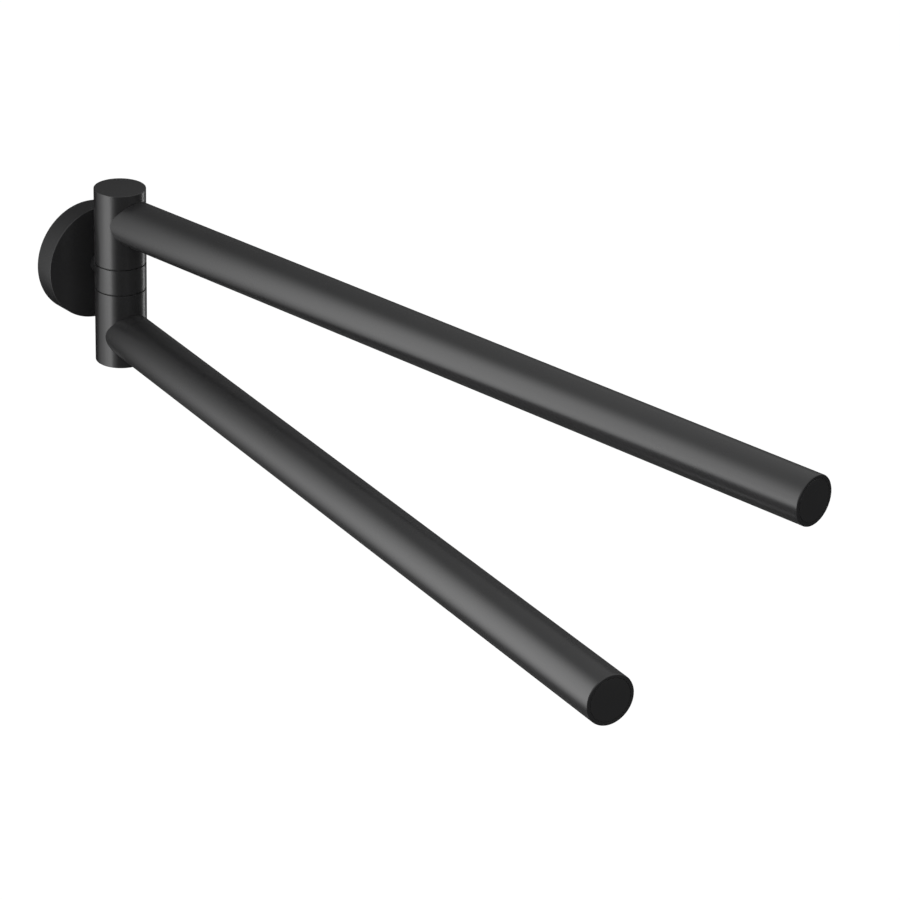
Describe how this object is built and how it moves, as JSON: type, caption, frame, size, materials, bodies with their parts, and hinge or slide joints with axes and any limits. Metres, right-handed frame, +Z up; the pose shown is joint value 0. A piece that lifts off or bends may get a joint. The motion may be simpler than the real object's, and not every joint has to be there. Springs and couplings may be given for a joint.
{
  "type": "swivel arm towel holder",
  "caption": "Wall-mounted towel holder: a round rosette and a short column carry two round arms at different heights, which swing sideways and stay where they are put.",
  "frame": {"origin": "middle of the face that lies on the wall, on the rosette's axis", "axes": "+Y into the wall, so the arms reach out along -Y; +Z up, along the swivel axis; +X to the right as seen from the room"},
  "size_m": [0.1136, 0.3958, 0.078],
  "materials": {
    "black_coat": "fine matte black powder coat",
    "pin_steel": "turned stainless steel",
    "screw_steel": "stainless steel screws",
    "zinc_plate": "zinc plated, dull",
    "nylon": "natural nylon",
    "dark_nylon": "black nylon"
  },
  "bodies": {
    "bracket": {"wall_plate": "zinc_plate", "rosette": "black_coat", "rosette_screw": "screw_steel", "neck": "black_coat", "neck_washer": "screw_steel", "neck_screw": "screw_steel", "centre_ring": "black_coat", "pivot_pin": "pin_steel", "upper_glide_washer": "dark_nylon", "lower_glide_washer": "dark_nylon"},
    "upper_arm": {"upper_hub": "black_coat", "upper_inner_bush": "nylon", "upper_outer_bush": "nylon", "upper_brake_pad": "nylon", "upper_hub_screw": "screw_steel", "upper_spigot": "pin_steel", "upper_tube_screw": "screw_steel", "upper_tube": "black_coat", "upper_end_plug": "black_coat"},
    "lower_arm": {"lower_hub": "black_coat", "lower_inner_bush": "nylon", "lower_outer_bush": "nylon", "lower_brake_pad": "nylon", "lower_hub_screw": "screw_steel", "lower_spigot": "pin_steel", "lower_tube_screw": "screw_steel", "lower_tube": "black_coat", "lower_end_plug": "black_coat"}
  },
  "joints": [
    {"name": "upper_swivel", "type": "hinge", "parent": "bracket", "child": "upper_arm", "pos_m": [0, -0.026, 0], "axis": [0, 0, 1], "range_deg": [-97.25, 82.75]},
    {"name": "lower_swivel", "type": "hinge", "parent": "bracket", "child": "lower_arm", "pos_m": [0, -0.026, 0], "axis": [0, 0, 1], "range_deg": [-82.75, 97.25]}
  ]
}
